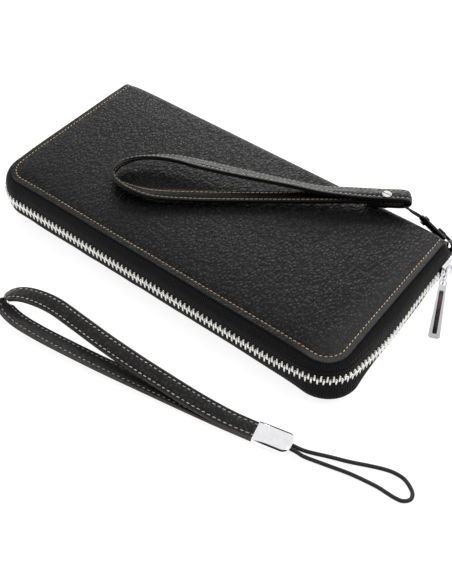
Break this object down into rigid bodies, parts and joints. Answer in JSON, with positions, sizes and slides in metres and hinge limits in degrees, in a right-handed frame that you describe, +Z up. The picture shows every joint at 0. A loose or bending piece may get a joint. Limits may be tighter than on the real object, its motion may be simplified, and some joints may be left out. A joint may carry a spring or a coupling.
{
  "type": "wristlet wallet",
  "caption": "Zip-around long wallet in pebbled leather with a wrist strap on a snap clasp, gusseted interior, coin pocket and a spare hand strap lying in front.",
  "frame": {"origin": "centre of the bottom cover's resting face, halfway along the cover and 46 mm behind its front edge", "axes": "+X along the long side towards the end with the main slider and wrist strap, +Y back to the spine, +Z up"},
  "size_m": [0.2506, 0.1602, 0.035],
  "materials": {
    "cover_leather": "black pebbled cowhide with a soft sheen and painted edges",
    "strap_leather": "black fine-grained leather strap with light stitching",
    "strap_backing": "smooth dark grey backing leather",
    "pocket_leather": "thin smooth black leather with turned edges",
    "lining": "dark charcoal woven lining",
    "zip_tape": "black herringbone woven zip tape",
    "zip_metal": "bright nickel zip teeth",
    "chrome_hardware": "polished chrome",
    "dark_metal": "black nickel plated metal",
    "board": "pressed fibre stiffening board",
    "cord": "black braided cord"
  },
  "bodies": {
    "base": {"bottom_cover": "cover_leather", "bottom_board": "board", "bottom_lining": "lining", "lower_zip_tape": "zip_tape", "lower_zip_teeth": "zip_metal", "lower_zip_stops": "zip_metal", "lower_card_pockets": "pocket_leather", "lower_cash_pocket": "pocket_leather", "left_gusset": "lining", "right_gusset": "lining"},
    "lid": {"top_cover": "cover_leather", "top_board": "board", "top_lining": "lining", "upper_zip_tape": "zip_tape", "upper_zip_teeth": "zip_metal", "upper_zip_stops": "zip_metal", "upper_card_pockets": "pocket_leather", "upper_cash_pocket": "pocket_leather", "ring_tab": "strap_leather"},
    "coin_pocket": {"coin_panel_lower": "lining", "coin_panel_upper": "lining", "coin_front_strip": "lining", "coin_gusset": "lining", "coin_zip_tapes": "zip_tape", "coin_zip_teeth": "zip_metal"},
    "coin_runner": {"coin_slider": "chrome_hardware"},
    "coin_tab": {"coin_pull": "chrome_hardware"},
    "runner": {"slider_body": "chrome_hardware"},
    "link": {"pull_link": "chrome_hardware"},
    "tab": {"pull_tab": "chrome_hardware"},
    "ring": {"d_ring": "dark_metal"},
    "clasp": {"clasp_body": "dark_metal"},
    "gate": {"clasp_gate": "dark_metal"},
    "swivel": {"swivel_post": "dark_metal", "wire_link": "dark_metal"},
    "wrist_strap": {"strap_outer": "strap_leather", "strap_lining": "strap_backing", "strap_rivet": "chrome_hardware"},
    "spare_strap": {"spare_strap_outer": "strap_leather", "spare_strap_lining": "strap_backing", "ferrule": "chrome_hardware", "cord_loop": "cord"}
  },
  "joints": [
    {"name": "lid_open", "type": "hinge", "parent": "base", "child": "lid", "pos_m": [0, 0.0495, 0.013], "axis": [-1, 0, 0], "range_deg": [0, 60], "deforming": ["left_gusset", "right_gusset"]},
    {"name": "coin_fan", "type": "hinge", "parent": "base", "child": "coin_pocket", "pos_m": [0, 0.0495, 0.013], "axis": [-1, 0, 0], "range_deg": [0, 30]},
    {"name": "coin_slide", "type": "slide", "parent": "coin_pocket", "child": "coin_runner", "axis": [-1, 0, 0], "range_m": [0, 0.145], "deforming": ["coin_zip_teeth"]},
    {"name": "coin_tab_swing", "type": "hinge", "parent": "coin_runner", "child": "coin_tab", "pos_m": [0.0713, -0.0298, 0.0164], "axis": [0, 0, 1], "range_deg": [-80, 80]},
    {"name": "slider_travel", "type": "slide", "parent": "base", "child": "runner", "axis": [0, -1, 0], "range_m": [0, 0.06], "deforming": ["lower_zip_teeth", "upper_zip_teeth"]},
    {"name": "link_swing", "type": "hinge", "parent": "runner", "child": "link", "pos_m": [0.10475, 0.0401, 0.013], "axis": [0, 0, 1], "range_deg": [0, 85]},
    {"name": "tab_lift", "type": "hinge", "parent": "link", "child": "tab", "pos_m": [0.10635, 0.03257, 0.0134], "axis": [-0.9143, -0.4051, 0], "range_deg": [0, 70]},
    {"name": "ring_swing", "type": "hinge", "parent": "lid", "child": "ring", "pos_m": [0.1002, 0.0504, 0.0155], "axis": [0, 0, -1], "range_deg": [0, 90]},
    {"name": "clasp_swing", "type": "hinge", "parent": "ring", "child": "clasp", "pos_m": [0.0966, 0.0543, 0.0155], "axis": [0, 0, -1], "range_deg": [0, 20]},
    {"name": "gate_open", "type": "hinge", "parent": "clasp", "child": "gate", "pos_m": [0.09262, 0.05583, 0.01813], "axis": [-0.5822, -0.1362, -0.8015], "range_deg": [0, 12], "stiffness_Nm_per_rad": 0.0005},
    {"name": "swivel_turn", "type": "hinge", "parent": "clasp", "child": "swivel", "pos_m": [0.0842, 0.0514, 0.025], "axis": [-0.7805, -0.1825, 0.5979], "range_deg": [0, 16]},
    {"name": "strap_lift", "type": "hinge", "parent": "swivel", "child": "wrist_strap", "pos_m": [0.0712, 0.0537, 0.0296], "axis": [-0.5708, 0.8211, 0], "range_deg": [0, 100]},
    {"name": "spare_lift", "type": "slide", "parent": "base", "child": "spare_strap", "axis": [0, 0, 1], "range_m": [0, 0.12]}
  ],
  "couplings": [
    {"joint": "coin_fan", "follows": "lid_open", "ratio": 0.5}
  ]
}
